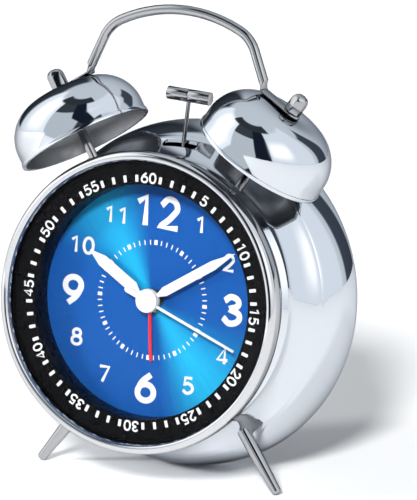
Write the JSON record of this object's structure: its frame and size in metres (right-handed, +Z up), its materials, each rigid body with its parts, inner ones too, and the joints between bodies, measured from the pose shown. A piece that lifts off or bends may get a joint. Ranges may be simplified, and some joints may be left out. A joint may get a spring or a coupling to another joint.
{
  "type": "alarm clock",
  "caption": "Round twin-bell alarm clock with a stepped dial, chrome drum, carry handle, two splayed feet and a hammer between the bells.",
  "frame": {"origin": "centre of the overall box, on the surface that the feet and the drum stand on", "axes": "+Z up, +X to the right seen from the front, +Y from the dial to the back; the dial leans back 7 degrees"},
  "size_m": [0.1248, 0.0714, 0.1684],
  "materials": {
    "polished_chrome": "polished",
    "clear_lens": "polished",
    "ring_black": "gloss",
    "dial_blue": "brushed, sunburst",
    "back_black": "fine grain",
    "knob_black": "satin",
    "hand_white": "satin",
    "hand_red": "satin",
    "movement_plastic": "satin",
    "wheel_plastic": "satin",
    "brass": "turned",
    "steel": "plain",
    "copper_winding": "enamelled wire",
    "board_green": "solder mask",
    "cell_wrap": "printed sleeve",
    "white_plastic": "satin"
  },
  "bodies": {
    "clock": {"battery_tray": "back_black", "bell_left": "polished_chrome", "bell_right": "polished_chrome", "bell_washers": "steel", "bezel": "polished_chrome", "cap_nuts": "polished_chrome", "cell_1": "cell_wrap", "cell_2": "cell_wrap", "cell_3": "cell_wrap", "circuit_board": "board_green", "coil": "copper_winding", "contact_plates": "steel", "contact_springs": "steel", "cover_screws": "steel", "dial_bush": "brass", "dial_nut": "brass", "dial_plate": "dial_blue", "foot_left": "polished_chrome", "foot_nuts": "steel", "foot_right": "polished_chrome", "front_shell": "polished_chrome", "handle": "polished_chrome", "lens": "clear_lens", "minute_ring": "ring_black", "movement_back": "movement_plastic", "movement_front": "movement_plastic", "post_left": "polished_chrome", "post_nuts": "steel", "post_right": "polished_chrome", "rear_cover": "back_black", "rear_shell": "polished_chrome", "stator": "steel", "striker_bracket": "steel", "striker_coil": "copper_winding", "striker_core": "steel", "striker_pin": "steel", "switch_body": "back_black"},
    "second": {"second_hand": "hand_white", "hub_cap": "hand_white", "second_wheel": "wheel_plastic"},
    "minute": {"minute_hand": "hand_white", "minute_wheel": "wheel_plastic"},
    "hour": {"hour_hand": "hand_white", "hour_wheel": "wheel_plastic"},
    "alarm": {"alarm_hand": "hand_red", "alarm_wheel": "wheel_plastic"},
    "motion": {"motion_wheel": "wheel_plastic"},
    "fourth": {"fourth_wheel": "wheel_plastic"},
    "third": {"third_wheel": "wheel_plastic"},
    "rotor": {"rotor": "steel"},
    "time_setting": {"time_knob": "knob_black", "time_stem": "wheel_plastic"},
    "alarm_setting": {"alarm_knob": "knob_black", "alarm_stem": "wheel_plastic"},
    "hammer": {"hammer_rod": "polished_chrome", "hammer_head": "polished_chrome", "hammer_armature": "steel"},
    "switch": {"switch_slider": "white_plastic"},
    "door": {"battery_door": "back_black"}
  },
  "joints": [
    {"name": "second_spin", "type": "hinge", "parent": "clock", "child": "second", "pos_m": [0, -0.00472, 0.06516], "axis": [0, 0.9925, -0.1219], "continuous": true},
    {"name": "rotor_spin", "type": "hinge", "parent": "clock", "child": "rotor", "pos_m": [-0.01559, -0.00581, 0.05622], "axis": [0, 0.9925, -0.1219], "continuous": true},
    {"name": "third_spin", "type": "hinge", "parent": "clock", "child": "third", "pos_m": [-0.00831, -0.0053, 0.06039], "axis": [0, 0.9925, -0.1219], "continuous": true},
    {"name": "fourth_spin", "type": "hinge", "parent": "clock", "child": "fourth", "pos_m": [0.00866, -0.00533, 0.06019], "axis": [0, 0.9925, -0.1219], "continuous": true},
    {"name": "time_knob_turn", "type": "hinge", "parent": "clock", "child": "time_setting", "pos_m": [0.01013, 0.01617, 0.07116], "axis": [0, 0.9925, -0.1219], "continuous": true},
    {"name": "minute_spin", "type": "hinge", "parent": "clock", "child": "minute", "pos_m": [0, -0.00472, 0.06516], "axis": [0, 0.9925, -0.1219], "continuous": true},
    {"name": "hour_spin", "type": "hinge", "parent": "clock", "child": "hour", "pos_m": [0, -0.00472, 0.06516], "axis": [0, 0.9925, -0.1219], "continuous": true},
    {"name": "motion_spin", "type": "hinge", "parent": "clock", "child": "motion", "pos_m": [0, -0.00603, 0.05444], "axis": [0, 0.9925, -0.1219], "continuous": true},
    {"name": "alarm_knob_turn", "type": "hinge", "parent": "clock", "child": "alarm_setting", "pos_m": [-0.01013, 0.01617, 0.07116], "axis": [0, 0.9925, -0.1219], "continuous": true},
    {"name": "alarm_spin", "type": "hinge", "parent": "clock", "child": "alarm", "pos_m": [0, -0.00472, 0.06516], "axis": [0, 0.9925, -0.1219], "continuous": true},
    {"name": "hammer_swing", "type": "hinge", "parent": "clock", "child": "hammer", "pos_m": [0, 0.00315, 0.09643], "axis": [0, 0.9925, -0.1219], "range_deg": [-13.7, 7.1], "stiffness_Nm_per_rad": 0.01},
    {"name": "switch_slide", "type": "slide", "parent": "clock", "child": "switch", "axis": [1, 0, 0], "range_m": [0, 0.005]},
    {"name": "door_pull", "type": "slide", "parent": "clock", "child": "door", "axis": [0, 0.9925, -0.1219], "range_m": [0, 0.02]}
  ],
  "couplings": [
    {"joint": "rotor_spin", "follows": "second_spin", "ratio": 30},
    {"joint": "third_spin", "follows": "second_spin", "ratio": -5},
    {"joint": "fourth_spin", "follows": "second_spin", "ratio": -0.125},
    {"joint": "minute_spin", "follows": "time_knob_turn", "ratio": -0.5},
    {"joint": "motion_spin", "follows": "time_knob_turn", "ratio": 0.16667},
    {"joint": "hour_spin", "follows": "time_knob_turn", "ratio": -0.041667},
    {"joint": "alarm_spin", "follows": "alarm_knob_turn", "ratio": -0.5}
  ]
}
